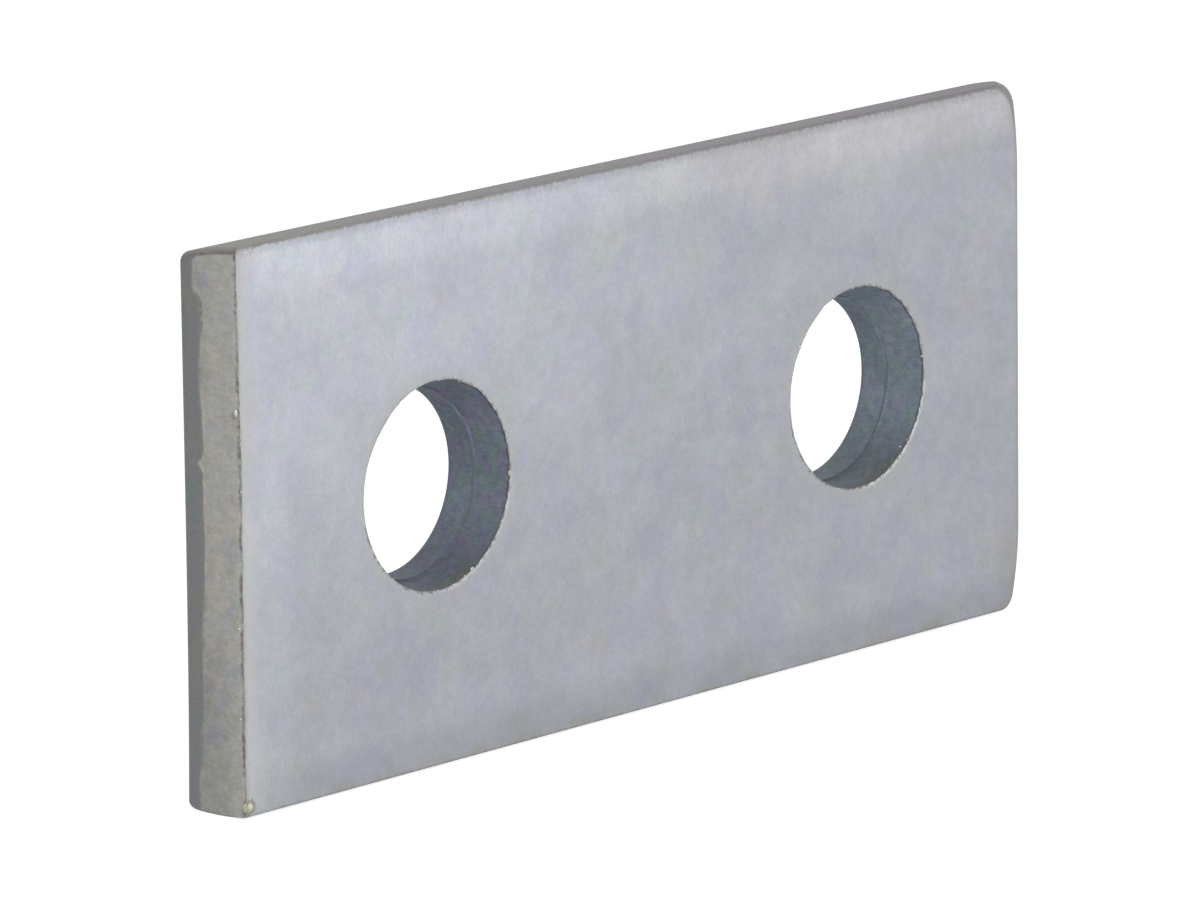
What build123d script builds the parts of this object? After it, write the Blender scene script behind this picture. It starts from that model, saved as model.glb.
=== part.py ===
from build123d import *
import os

# Two-hole joining plate for metal framing: a length of flat steel bar, cropped at both ends and
# punched for two bolts. Millimetres. +X runs along the plate, +Z up its width, and +Y points out
# of the back face. The origin is the middle of the long edge that the plate stands on.

# Flat bar
plate_length = 88.9  # 3 1/2 in, over the lands of the two cropped ends
plate_width = 41.275  # 1 5/8 in, across the back face
plate_thickness = 6.0
edge_lean = 1.1  # the front face reaches this much further up than the back face
back_arris_radius = 0.5
front_arris_radius = 0.25

# Cropped ends. The blade drags the face it enters down into a roll-over and cuts a smooth land,
# then the rest of the thickness breaks away on a slope. The blade entered the left end from the
# back and the right end from the front.
roll_reach = 1.3  # roll-over, measured along the face
roll_depth = 0.9  # roll-over, measured into the thickness
end_land = 1.1
end_break = 0.2  # how far the break slopes back from the land
corner_draw = 0.8  # the blade dragged the right end's corners back by this much
corner_draw_length = 7.0
left_corner_radius = 0.3
right_corner_radius = 1.2

# Punched holes. The punch entered at the back face and the slug broke out at the front.
hole_diameter = 14.2875  # 9/16 in, clears a 1/2 in bolt
hole_spacing = 47.625  # 1 7/8 in
holes_off_middle = 0.6  # the shear cut the punched bar this far off the middle of its holes
hole_roll = 0.65  # radius of the roll-over at the punch's entry
hole_land = 2.3  # length of the smooth bore
tear_step = 0.18  # the torn part of the wall starts with a step this high
die_clearance = 0.72  # the torn part widens to this much outside the smooth bore

half_length = plate_length / 2
half_thickness = plate_thickness / 2
front_height = plate_width + edge_lean
lean_direction = Vector(0, plate_thickness, -edge_lean)


def bar():
    """The flat bar: square lower edge, leaning upper edge, four rolled arrises."""
    with BuildPart() as solid:
        with BuildSketch(Plane.YZ):
            with BuildLine():
                Polyline(
                    (-half_thickness, 0),
                    (half_thickness, 0),
                    (half_thickness, plate_width),
                    (-half_thickness, front_height),
                    close=True,
                )
            make_face()
            fillet(vertices().group_by(Axis.X)[-1], back_arris_radius)
            fillet(vertices().group_by(Axis.X)[0], front_arris_radius)
        extrude(amount=plate_length, both=True)
    return solid.part


def cropped_ends():
    """Both cropped ends in plan, taken up the whole width. Half a turn swaps one for the other."""
    with BuildPart() as solid:
        with BuildSketch(Plane.XY):
            with BuildLine() as outline:
                roll = EllipticalCenterArc(
                    (roll_reach - half_length, half_thickness - roll_depth),
                    roll_reach,
                    roll_depth,
                    start_angle=90,
                    arc_size=90,
                )
                land = Line(roll @ 1, roll @ 1 - (0, end_land))
                torn = Line(land @ 1, (end_break - half_length, -half_thickness))
                Line(torn @ 1, (half_length - roll_reach, -half_thickness))
                add(outline.line.rotate(Axis.Z, 180))
            make_face()
        extrude(amount=front_height)
    return solid.part


def long_side():
    """Face outline, seen from the front, that is true along its lower side and open-ended above."""
    far = 2 * front_height
    with BuildSketch(Plane.XZ) as outline:
        with BuildLine():
            end = Line((half_length, far), (half_length, corner_draw_length))
            drawn = TangentArc(end @ 1, (half_length - corner_draw, 0), tangent=(0, -1))
            Polyline(drawn @ 1, (-half_length, 0), (-half_length, far), end @ 0)
        make_face()
        fillet(vertices().group_by(Axis.Y)[0].sort_by(Axis.X)[0], left_corner_radius)
        fillet(vertices().group_by(Axis.Y)[0].sort_by(Axis.X)[-1], right_corner_radius)
    return Pos(0, -half_thickness, 0) * outline.sketch


def face_corners():
    """The four corners, carried through the thickness square at the bottom and leaning at the top."""
    lower = extrude(long_side(), plate_thickness, dir=(0, 1, 0))
    upper_outline = Pos(0, 0, front_height) * mirror(long_side(), about=Plane.XY)
    upper = extrude(upper_outline, lean_direction.length, dir=lean_direction)
    return lower & upper


def punched_hole():
    """What the punch took out: roll-over, smooth bore, step and torn cone, from the back forwards."""
    bore_radius = hole_diameter / 2
    bore_back = half_thickness - hole_roll
    bore_front = bore_back - hole_land
    with BuildPart() as solid:
        with BuildSketch(Plane.XY):
            with BuildLine():
                wall = Polyline(
                    (bore_radius, bore_back),
                    (bore_radius, bore_front),
                    (bore_radius + tear_step, bore_front),
                    (bore_radius + die_clearance, -half_thickness),
                    (0, -half_thickness),
                    (0, half_thickness),
                    (bore_radius + hole_roll, half_thickness),
                )
                TangentArc(wall @ 0, wall @ 1, tangent=(0, 1))
            make_face()
        revolve(axis=Axis.Y)
    return solid.part


def joining_plate():
    """The whole plate, one piece of steel."""
    plate = bar() & cropped_ends() & face_corners()
    for side in (-1, 1):
        along = holes_off_middle + side * hole_spacing / 2
        plate -= Pos(along, 0, front_height / 2) * punched_hole()
    return plate


os.makedirs("parts", exist_ok=True)
plate = joining_plate()
plate.label = "joining_plate"
export_step(plate, "parts/joining_plate.step")
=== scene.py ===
# %% [markdown]
# # A zinc-plated joining plate
#
# The object is one piece of flat steel bar, 89 mm long, that bolts across a joint between two
# lengths of metal framing. It was cropped to length in a shear, punched twice and then zinc
# plated. All the interest is in its edges: a blade or a punch leaves a rounded lip where it goes
# in, a smooth band where it cuts, and a torn, ragged slope where the steel gives way. We start by
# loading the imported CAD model. It is a fixed frame: it tells us where everything is, and we
# dress it without moving it.

# %% Load the frame
from math import cos, pi, radians, sin

import bmesh
import bpy
import numpy as np
from mathutils import Matrix, Vector
from mathutils.geometry import delaunay_2d_cdt
from mathutils.noise import fractal


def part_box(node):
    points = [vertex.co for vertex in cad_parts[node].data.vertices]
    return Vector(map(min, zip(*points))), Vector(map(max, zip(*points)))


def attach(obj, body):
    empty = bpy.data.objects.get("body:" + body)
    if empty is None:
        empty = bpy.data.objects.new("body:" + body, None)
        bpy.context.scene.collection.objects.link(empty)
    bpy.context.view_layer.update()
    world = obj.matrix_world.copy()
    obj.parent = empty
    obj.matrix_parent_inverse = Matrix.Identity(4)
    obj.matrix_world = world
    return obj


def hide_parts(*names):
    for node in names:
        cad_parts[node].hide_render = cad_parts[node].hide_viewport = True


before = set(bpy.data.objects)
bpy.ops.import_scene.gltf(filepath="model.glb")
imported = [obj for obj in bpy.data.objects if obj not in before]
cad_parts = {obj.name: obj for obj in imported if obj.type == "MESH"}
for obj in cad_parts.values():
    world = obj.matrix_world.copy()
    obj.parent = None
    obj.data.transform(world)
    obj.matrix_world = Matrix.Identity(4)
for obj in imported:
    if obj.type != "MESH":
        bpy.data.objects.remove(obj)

MM = 0.001
NODE = "joining_plate"
bpy.context.view_layer.update()
low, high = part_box(NODE)
print("Nodes:", list(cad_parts))

# %% [markdown]
# ## The sizes of the plate
#
# The outer sizes are read from the CAD node. The small ones that follow describe what cropping and
# punching did to the steel. Most repeat the CAD model's own sizes, because the dressed surface has
# to keep its form. Some are finer than a CAD model needs: the long edges are a little fuller in
# their middle, and each corner and hole has a size and place of its own. `depth` always means the
# distance in from the front face.

# %% Sizes
length = high.x - low.x
thickness = high.y - low.y
edge_lean = 1.1 * MM  # the upper edge leans: the front face reaches further up
upper_crown = 0.22 * MM  # the mill left both edges a little fuller in their middle
lower_crown = 0.17 * MM
back_width = 41.21 * MM
front_width = back_width + edge_lean
front_arris = 0.25 * MM
back_arris = 1.2 * MM

roll_reach = 1.3 * MM
roll_depth = 0.9 * MM
end_land = 1.1 * MM
end_break = 0.2 * MM
lower_draw = 1.05 * MM  # how far the blade dragged the right end's corners back
upper_draw = 0.8 * MM
draw_length = 7.0 * MM
lower_left_corner = 0.3 * MM
upper_left_corner = 0.5 * MM
upper_right_corner = 2.15 * MM
lower_right_corner = 1.1 * MM
right_corner_back = 0.35 * MM

bore_radius = 14.2875 / 2 * MM
rim_centre = {-1: (-23.31 * MM, 21.37 * MM), 1: (24.3 * MM, 21.01 * MM)}
bore_centre = {-1: (-23.22 * MM, 21.08 * MM), 1: (24.2 * MM, 20.54 * MM)}
hole_roll = 0.65 * MM
hole_land = 2.3 * MM
tear_step = 0.18 * MM
die_clearance = 0.72 * MM
print(f"Plate {length / MM:.2f} x {front_width / MM:.2f} x {thickness / MM:.2f} mm")

# %% [markdown]
# ## The camera
#
# The plate is looked at from its left and a little above, from far away through a long lens, so
# that its edges stay almost parallel. The camera is placed by its direction, the way a
# photographer would say it, and aimed at a point near the plate's middle.

# %% Camera
view_azimuth = radians(47.91)
view_elevation = radians(12.07)
view_roll = radians(-0.73)
view_distance = 0.7397
aim = Vector((-1.09, 0.91, 19.8)) * MM

camera_data = bpy.data.cameras.new("Camera")
camera_data.sensor_width = 36.0
camera_data.lens = 293.9
camera_data.clip_start = 0.01
camera = bpy.data.objects.new("Camera", camera_data)
bpy.context.scene.collection.objects.link(camera)
level = cos(view_elevation)
towards_camera = Vector((-sin(view_azimuth) * level, -cos(view_azimuth) * level, sin(view_elevation)))
level_view = towards_camera.to_track_quat("Z", "Y").to_matrix()
rolled_view = level_view @ Matrix.Rotation(view_roll, 3, "Z")
stand = Matrix.Translation(aim + towards_camera * view_distance)
camera.matrix_world = stand @ rolled_view.to_4x4()
bpy.context.scene.camera = camera
print("Camera at", [round(value, 3) for value in camera.matrix_world.translation])

# %% [markdown]
# ## Chance along an edge
#
# Torn steel is ragged, but not evenly so. A fractal noise read along the edge swings slowly and
# carries smaller swings on its back, which is how a real tear runs. Every edge reads the noise in
# a lane of its own, so no two edges repeat each other, and the result is the same on every run.

# %% Ragged lines
def swing(along, lane, coarse, octaves=4):
    """A random swing of about -1 to 1 along an edge. Its largest waves are `coarse` long."""
    return np.array([fractal(Vector((s / coarse, lane, 0.5)), 0.8, 2.1, octaves) for s in along])


def swing_round(angles, lane, radius, coarse, octaves=4):
    """The same round a circle, where the line has to meet itself again."""
    spots = [(cos(a) * radius / coarse, sin(a) * radius / coarse, lane) for a in angles]
    return np.array([fractal(Vector(spot), 0.8, 2.1, octaves) for spot in spots])


def bell(value, centre, width):
    """A smooth bump that is 1 at its centre and fades out on both sides."""
    return np.exp(-(((value - centre) / width) ** 2))


def smooth_step(value, start, end):
    """A smooth rise from 0 at the start to 1 at the end."""
    part = np.clip((value - start) / (end - start), 0.0, 1.0)
    return part * part * (3.0 - 2.0 * part)


print("A sample of the swing:", np.round(swing(np.arange(4) * MM, 3.0, 2.0 * MM), 2))

# %% [markdown]
# ## The stack of outlines
#
# The plate could be a box with bevels, but its four sides are all different, and they change
# through the thickness. So we stack up outlines, one at each depth, and skin them like the
# frames of a boat. Every outline has the same number of points, so the skin is a clean grid.
# The outlines crowd together where the surface curves fastest: at the rolled-over lips.

# %% Depths of the outlines
skin = 0.03 * MM  # the steel sits this far inside its box, and the burrs and lumps use the room
roll_angles = np.linspace(pi / 2, 0.0, 9)
lip_depths = roll_depth * (1.0 - np.sin(roll_angles))
right_tear_depth = roll_depth + end_land
left_tear_depth = thickness - roll_depth - end_land
wall_depths = [
    np.linspace(roll_depth, right_tear_depth, 8)[1:],
    np.linspace(right_tear_depth, left_tear_depth, 14)[1:],
    np.linspace(left_tear_depth, thickness - roll_depth, 8)[1:-1],
]
depths = np.concatenate([lip_depths, *wall_depths, thickness - lip_depths[::-1]])
print(len(depths), "outlines between the faces")


# %% How far each side is set back at a depth
def round_inset(distance, radius):
    """Set-back of a rounded arris at a distance below its face."""
    rise = max(0.0, 1.0 - distance / radius)
    return radius * (1.0 - (1.0 - rise * rise) ** 0.5)


def crop_inset(distance):
    """Set-back of a cropped end at a distance below the face that the blade entered."""
    if distance < roll_depth:
        rise = 1.0 - distance / roll_depth
        return roll_reach * (1.0 - (1.0 - rise * rise) ** 0.5)
    torn = max(0.0, distance - roll_depth - end_land)
    return end_break * torn / (thickness - roll_depth - end_land)


def draw_back(from_corner, size):
    """How far the blade dragged the right end back at a height from a corner."""
    near = np.clip(1.0 - from_corner / draw_length, 0.0, 1.0)
    return size * near * near


print(f"Left end is set back {crop_inset(thickness) / MM:.2f} mm at the front face")

# %% [markdown]
# ## One outline
#
# An outline is a rectangle with round corners, walked anticlockwise as seen from the front. The
# left end gets many points, because its tear is the first thing that one sees. The smooth lower
# edge gets few. Each point remembers its side, so that later steps can find the sides again.

# %% Points of an outline
BOTTOM, RIGHT, TOP, LEFT = range(4)
side_points = {BOTTOM: 170, RIGHT: 200, TOP: 330, LEFT: 400}
corner_points = 9
quarter = np.linspace(0.0, pi / 2, corner_points + 1)[:-1]
corner_side = {BOTTOM: LEFT, RIGHT: RIGHT, TOP: RIGHT, LEFT: TOP}  # what the corner before each counts as
point_side = np.concatenate(
    [
        np.repeat([corner_side[side], side], [corner_points, count])
        for side, count in side_points.items()
    ]
)
ring_size = len(point_side)


def fractions(side):
    """Even steps along a side, from 0 to just short of 1."""
    return np.arange(side_points[side]) / side_points[side]


def arc(x, z, radius, start):
    """The points of a corner: a quarter turn about its centre."""
    return x + radius * np.cos(quarter + start), z + radius * np.sin(quarter + start)


def outline(depth, extra=0.0):
    """The outline at a depth, drawn in by `extra`: x and z of every point."""
    inwards = skin + extra
    rounding = max(round_inset(depth, front_arris), round_inset(thickness - depth, back_arris))
    left_set = crop_inset(thickness - depth)
    x0 = -length / 2 + inwards + left_set
    x1 = length / 2 - inwards - crop_inset(depth)
    off_middle = (2.0 * depth / thickness - 1.0) ** 2
    z0 = inwards + rounding + lower_crown * off_middle
    leaning = front_width - edge_lean * depth / thickness
    z1 = leaning - (inwards + rounding) + upper_crown * (1.0 - off_middle)

    low_left = lower_left_corner - 0.6 * min(left_set, lower_left_corner) - 0.5 * extra
    low_left = max(0.12 * MM, low_left)
    up_left = max(0.2 * MM, upper_left_corner - 0.5 * extra)
    drawn = max(0.0, 1.0 - depth / (2.0 * MM))
    low_right, up_right = (
        max(0.3 * MM, right_corner_back + (radius - right_corner_back) * drawn - 0.5 * extra)
        for radius in (lower_right_corner, upper_right_corner)
    )
    low_back, up_back = draw_back(low_right, lower_draw), draw_back(up_right, upper_draw)
    low_far, up_far = x1 - low_back - low_right, x1 - up_back - up_right
    low_x, low_rise = arc(low_far, low_right, low_right, 1.5 * pi)
    up_x, up_rise = arc(up_far, -up_right, up_right, 0.0)
    right_z = z0 + low_right + (z1 - z0 - low_right - up_right) * fractions(RIGHT)
    right_drag = draw_back(right_z - z0, lower_draw) + draw_back(z1 - right_z, upper_draw)
    pieces = [
        arc(x0 + low_left, z0 + low_left, low_left, pi),
        (x0 + low_left + (low_far - x0 - low_left) * fractions(BOTTOM), z0),
        (low_x + low_back - draw_back(low_rise, lower_draw), z0 + low_rise),
        (x1 - right_drag, right_z),
        (up_x + up_back - draw_back(-up_rise, upper_draw), z1 + up_rise),
        (up_far - (up_far - x0 - up_left) * fractions(TOP), z1),
        arc(x0 + up_left, z1 - up_left, up_left, 0.5 * pi),
        (x0, z1 - up_left - (z1 - z0 - low_left - up_left) * fractions(LEFT)),
    ]
    paired = [np.broadcast_arrays(x, z) for x, z in pieces]
    return np.concatenate([x for x, _ in paired]), np.concatenate([z for _, z in paired])


print(ring_size, "points in each outline")

# %% [markdown]
# ## The torn left end
#
# On a cropped end the smooth band stops along a wandering line, and the tear begins there with a
# small step. The line is a level in our stack of outlines, so we bend that level up and down along
# the end instead of cutting the mesh. Its neighbours follow in proportion. At the front face
# the tear comes out in a thin ragged burr, which stands a few hundredths of a millimetre proud.

# %% The wandering tear line
band_at_ends = 1.3 * MM  # width of the smooth band near the plate's corners
band_in_middle = 1.95 * MM
front_x, front_z = outline(0.0)
middle_z = front_width / 2
edge_distance = np.minimum(front_z, front_width - front_z)
inner = smooth_step(edge_distance, 2.2 * MM, 6.5 * MM)
band_width = band_at_ends + (band_in_middle - band_at_ends) * inner
band_width += 0.13 * MM * swing(front_z, 11.0, 5.0 * MM)
band_width += 0.05 * MM * swing(front_z, 12.0, 0.8 * MM, 3)
heights = np.array([0.0, 4.0, 6.0, 8.0, 14.0, 17.0, 21.0, 25.0, 28.0, 33.0, 36.0, 38.2, 39.3, 42.3])
wider = np.array([0.35, 0.2, -0.2, 0.2, 0.1, 0.45, 0.6, 0.6, 0.75, 0.35, 0.6, 1.0, 0.4, 0.6])
band_width += np.interp(front_z, heights * MM, wider * MM)
band_width -= 0.55 * MM * bell(front_z, 26.4 * MM, 0.45 * MM)  # a nib of torn steel

fade = np.linspace(1.0, 0.0, corner_points)  # the weights fade out over the corners
left_weight = np.where(point_side == LEFT, 1.0, 0.0)
left_weight[:corner_points] = fade
left_weight[-side_points[LEFT] - corner_points : -side_points[LEFT]] = fade[::-1]
left_line = left_tear_depth + left_weight * (thickness - band_width - left_tear_depth)

right_weight = np.where(point_side == RIGHT, 1.0, 0.0)
right_start = corner_points + side_points[BOTTOM]
right_weight[right_start : right_start + corner_points] = fade[::-1]
right_end = right_start + corner_points + side_points[RIGHT]
right_weight[right_end : right_end + corner_points] = fade
right_line = right_tear_depth + right_weight * 0.15 * MM * swing(front_z, 13.0, 4.0 * MM)
print(f"The smooth band is {band_width.min() / MM:.2f} to {band_width.max() / MM:.2f} mm wide")

# %% Bend the outlines to the tear lines
below_top = 1.0 - front_z / front_width
left_roll = 1.0 + left_weight * (0.2 - 0.5 * below_top**4)  # the blade drew the lower corner in less


def bent_depth(depth):
    """The real depth of every point of an outline, once the tear lines wander."""
    knots = [0.0, roll_depth, right_tear_depth, left_tear_depth, thickness - roll_depth, thickness]
    rolled_stop = thickness - roll_depth * left_roll
    lines = zip(right_line, left_line, rolled_stop)
    return np.array([np.interp(depth, knots, [0.0, roll_depth, *line, thickness]) for line in lines])


# %% [markdown]
# ## What each point of the skin knows
#
# The finishes need to know more than a place: where the steel is torn, where the blade polished
# it, where brown stain settled and where shade is painted. So each point carries marks, from 0 to 1.
# The `stain` mark holds dirt behind the burr together with painted shade: the shade of the groove
# behind the burr, a painted shadow under the step of the tear and painted shade along the rounded
# upper end. `ragged` says where nodules may grow, and `lip` where the right end's roll turns away
# from the light, which the face's finish paints as shade.

# %% Burr, stain and painted shade, and lip along the outline
most_burr = 0.045 * MM
burr_height = np.clip(0.5 + 0.5 * swing(front_z, 21.0, 1.4 * MM), 0.0, 1.0)
burr_wander = 0.07 * MM * swing(front_z, 22.0, 1.1 * MM, 5)
burr_wander += 0.04 * MM * swing(front_z, 23.0, 0.3 * MM, 2)
upper_side = np.where(point_side == TOP, 1.0, 0.0)
upper_wander = np.abs(0.05 * MM * swing(front_x, 24.0, 1.6 * MM, 5))
torn_set = 0.05 * MM  # the torn slope starts with a step this high
torn_lean = 0.08 * MM + 0.15 * MM * bell(front_z, 26.0 * MM, 9.0 * MM)

# dirt, and the painted shade of the groove, behind the burr
burr_dirt_and_shade = np.clip(0.7 + 0.7 * swing(front_z, 25.0, 1.7 * MM, 4), 0.1, 1.0)
# painted shadow along the step of the tear, darkest in a patch high up the end
tear_step_shadow = np.clip(0.1 + 0.9 * swing(front_z, 26.0, 2.6 * MM, 4), 0.0, 0.7)
tear_step_shadow += 1.5 * bell(front_z, 37.2 * MM, 1.5 * MM)
# painted shade along the rounded upper arris of the left end
upper_end_shade = bell(front_z, front_width - 0.66 * MM, 0.24 * MM) * left_weight
upper_end_shade *= np.clip(0.85 + 0.5 * swing(front_z + front_x, 27.0, 0.8 * MM), 0.3, 1.0)
lower_end = np.where(point_side == LEFT, bell(front_z, 0.0, 0.9 * MM), 0.0)

# painted shade where the right end's roll turns away from the light
high_up = smooth_step(front_z, 36.5 * MM, 41.0 * MM)
lip_shade_weight = np.where(point_side == RIGHT, 0.55 + 0.45 * high_up, 0.0)
lip_shade_reach = (0.16 - 0.125 * high_up) * MM
print(f"The burr stands up to {burr_height.max() * most_burr / MM:.3f} mm proud")


# %% Stack the outlines
def real_y(depth):
    """Where a depth lies, with a skin's room left over at both faces."""
    return -thickness / 2 + skin + depth * (thickness - 2 * skin) / thickness


def bent_outline(depth):
    """One outline of the finished skin: its points and their marks."""
    x, z = outline(depth)
    real = bent_depth(depth)
    z_lean = (real - depth) * edge_lean / thickness
    z = np.where(z > middle_z, z - z_lean * (z - middle_z) / middle_z, z)
    torn_left = 1.0 if depth < left_tear_depth - 1e-9 else 0.0
    torn_right = 1.0 if depth > right_tear_depth + 1e-9 else 0.0
    if torn_left:
        x = x + left_weight * (torn_set + torn_lean * (1.0 - depth / left_tear_depth))
    if thickness - depth < roll_depth:
        x = x + left_weight * (left_roll - 1.0) * crop_inset(thickness - depth)
    near_front = bell(depth, 0.0, 0.22 * MM)
    x = x + left_weight * near_front * burr_wander
    x = x + left_weight * bell(depth, 0.14 * MM, 0.1 * MM) * 0.05 * MM  # a groove behind the burr
    z = z - upper_side * near_front * upper_wander
    y = real_y(real) - left_weight * bell(depth, 0.0, 0.03 * MM) * most_burr * burr_height

    # dirt and painted shade behind the burr, painted shadow under the step and painted shade along the
    # upper end, all carried by the stain mark
    behind_burr = bell(depth, 0.17 * MM, 0.17 * MM) * burr_dirt_and_shade
    under_step = bell(depth, left_tear_depth - 0.14 * MM, 0.12 * MM) * tear_step_shadow
    brown = left_weight * (behind_burr + under_step)
    brown += 0.8 * upper_end_shade + 0.3 * lower_end * bell(depth, 0.0, 1.2 * MM)
    brown += 0.4 * upper_side * bell(depth, 0.1 * MM, 0.3 * MM)
    brown = np.clip(brown, 0.0, 1.0)
    levels = {
        "torn": left_weight * torn_left + right_weight * torn_right,
        "burnished": left_weight * (1.0 - torn_left) + right_weight * (1.0 - torn_right),
        "stain": brown,
        "ragged": left_weight * np.clip(brown + 0.3, 0.0, 1.0) * (depth < 0.3 * MM),
        "lip": lip_shade_weight * smooth_step(depth, 0.0, lip_shade_reach),
    }
    return np.column_stack([x, y, z]), levels


rings = [bent_outline(depth) for depth in depths]
print("Skin of the sides:", len(rings) - 1, "by", ring_size, "faces")

# %% [markdown]
# ## The punched holes
#
# The punch came from the back. It drew the back face down into a round lip and cut a smooth bore.
# Then the slug broke out, and left a step and a cone that opens towards the front, with a
# ragged rim. A hole is a stack of circles, made as the outlines are. The rim's radius wanders,
# with a few bites where a flake of steel came away.

# %% Circles of a hole
hole_points = 420
hole_angles = np.arange(hole_points) * 2 * pi / hole_points
bore_start = thickness - hole_roll - hole_land
cone_depths = np.array([0.0, 0.03, 0.08, 0.16, 0.28, 0.45, 0.7, 1.0, 1.35, 1.7, 2.05, 2.4, 2.7, 2.92])
ragged_circles = 6
bore_levels = np.linspace(bore_start, thickness - hole_roll, 7)
bore_depths = [bore_start, bore_start + 0.2 * MM, *bore_levels[1:]]
step_rise = 0.14 * MM
rim_radius = bore_radius + die_clearance
step_radius = bore_radius + tear_step


def angle_bump(centre, width):
    """A smooth bump round the rim, centred on an angle in degrees, with a width in degrees."""
    return bell((np.degrees(hole_angles) - centre + 180.0) % 360.0 - 180.0, 0.0, width)


def punched_hole(side, lane, bites, burrs):
    """The circles of a hole. Bites are (angle, width, millimetres), burrs (angle, width, share)."""
    step_line = bore_start + 0.11 * MM * swing_round(hole_angles, lane, step_radius, 4.0 * MM)
    wander = 0.07 * MM * swing_round(hole_angles, lane + 1.0, rim_radius, 1.3 * MM, 5)
    wander += 0.035 * MM * swing_round(hole_angles, lane + 2.0, rim_radius, 0.35 * MM, 2)
    wander *= 0.3 + 0.7 * np.clip(0.5 + 1.2 * np.cos(hole_angles), 0.0, 1.0)
    for angle, width, size in bites:
        wander += size * MM * angle_bump(angle, width)
    lift = 0.35 + 0.6 * swing_round(hole_angles, lane + 3.0, rim_radius, 1.5 * MM)
    lift = np.clip(lift, 0.0, 1.0) * 0.3
    for angle, width, share in burrs:
        lift += share * angle_bump(angle, width)
    lift = np.clip(lift, 0.0, 1.0) * most_burr

    circles = []
    for index, depth in enumerate(cone_depths * MM):
        radius = rim_radius + (step_radius - rim_radius) * (depth / bore_start)
        radius = radius + wander * bell(depth, 0.0, 0.35 * MM)
        raised = -lift * bell(depth, 0.0, 0.02 * MM)
        brown = bell(depth, 0.06 * MM, 0.1 * MM)
        levels = {"torn": 1.0, "stain": brown, "ragged": brown * (index < ragged_circles)}
        circles.append((radius, depth * step_line / bore_start, raised, levels))
    circles.append((step_radius, step_line, 0.0, {"torn": 0.6}))
    for index, depth in enumerate(bore_depths):
        part = (thickness - hole_roll - depth) / hole_land
        real = depth + part * (step_line - bore_start) + (step_rise if index == 0 else 0.0)
        circles.append((bore_radius, real, 0.0, {"burnished": 1.0}))
    for turn in np.linspace(0.0, pi / 2, 8)[1:]:
        radius = bore_radius + hole_roll * (1.0 - cos(turn))
        depth = thickness - hole_roll * (1.0 - sin(turn))
        circles.append((radius, np.full(hole_points, depth), 0.0, {"burnished": 0.6}))

    hole = []
    rim_x, rim_z = rim_centre[side]
    bore_x, bore_z = bore_centre[side]
    for radius, depth, raised, levels in circles:
        part = np.clip(depth / bore_start, 0.0, 1.0)
        x = rim_x + (bore_x - rim_x) * part + radius * np.cos(hole_angles)
        z = rim_z + (bore_z - rim_z) * part + radius * np.sin(hole_angles)
        hole.append((np.column_stack([x, real_y(depth) + raised, z]), levels))
    return hole


left_bites = [(-4.0, 2.2, 0.16), (-38.0, 5.0, 0.06), (138.0, 16.0, -0.12)]
left_burrs = [(-62.0, 5.0, 0.9), (-10.0, 9.0, 0.5), (50.0, 12.0, 0.5)]
right_bites = [(118.0, 5.0, 0.08), (60.0, 4.0, 0.07), (-75.0, 6.0, 0.07)]
right_burrs = [(-30.0, 26.0, 0.8), (135.0, 14.0, 0.7)]
holes = [
    punched_hole(-1, 31.0, left_bites, left_burrs),
    punched_hole(1, 41.0, right_bites, right_burrs),
]
print("Each hole has", len(holes[0]), "circles of", hole_points, "points")

# %% [markdown]
# ## The two broad faces
#
# A broad face lies between the last outline and the two rims. Its boundary points are very close
# together and its middle needs hardly any, so a plain grid would waste them. We hand the boundary
# and a thinning cloud of inner points to a Delaunay triangulation, which joins them without
# slivers. It also fills the holes, so we keep only the triangles that lie on the steel.

# %% Collect points and faces
FACE, END, EDGE, BORE, LUMP = range(5)
vertex_list = []
face_list = []
face_zone = []
marks = {name: [] for name in ("torn", "burnished", "stain", "ragged", "lip")}


def add_points(points, **levels):
    """Adds points to the mesh, with the marks they carry, and returns the number of the first."""
    first = len(vertex_list)
    vertex_list.extend(map(tuple, points))
    for name, values in marks.items():
        values.extend(np.broadcast_to(levels.get(name, 0.0), len(points)))
    return first


# %% Fill a face
cloud_insets = ((0.07, 1), (0.18, 1), (0.45, 2), (1.1, 5))  # millimetres inwards, and one point in how many
cloud_rows, cloud_columns = 30, 60
cloud_step = 2.1 * MM  # the middle of the face has a point this often
row_height = 0.87  # of a step
end_margin, edge_margin, rim_margin = 3.6 * MM, 2.6 * MM, 2.4 * MM


def inner_cloud(depth, ring, rims):
    """Points of a face that thin out away from its boundary."""
    cloud = []
    centres = [rim.mean(axis=0) for rim in rims]
    x_edge, z_edge = outline(depth)
    for inset, stride in cloud_insets:
        x, z = outline(depth, inset * MM)
        cloud.append((ring + np.column_stack([x - x_edge, z - z_edge]))[::stride])
        for rim, centre in zip(rims, centres):
            spoke = rim - centre
            reach = np.linalg.norm(spoke, axis=1, keepdims=True)
            cloud.append((centre + spoke * (1.0 + inset * MM / reach))[::stride])
    for row in range(cloud_rows):
        for column in range(cloud_columns):
            x = (column - (cloud_columns - 1) / 2 + 0.5 * (row % 2)) * cloud_step
            z = (row + 0.5) * cloud_step * row_height
            spot = np.array([x, z])
            inside = abs(x) < length / 2 - end_margin and edge_margin < z < back_width - edge_margin
            clear = all(np.linalg.norm(spot - centre) > rim_radius + rim_margin for centre in centres)
            if inside and clear:
                cloud.append(spot[None, :])
    return np.concatenate(cloud)


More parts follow.
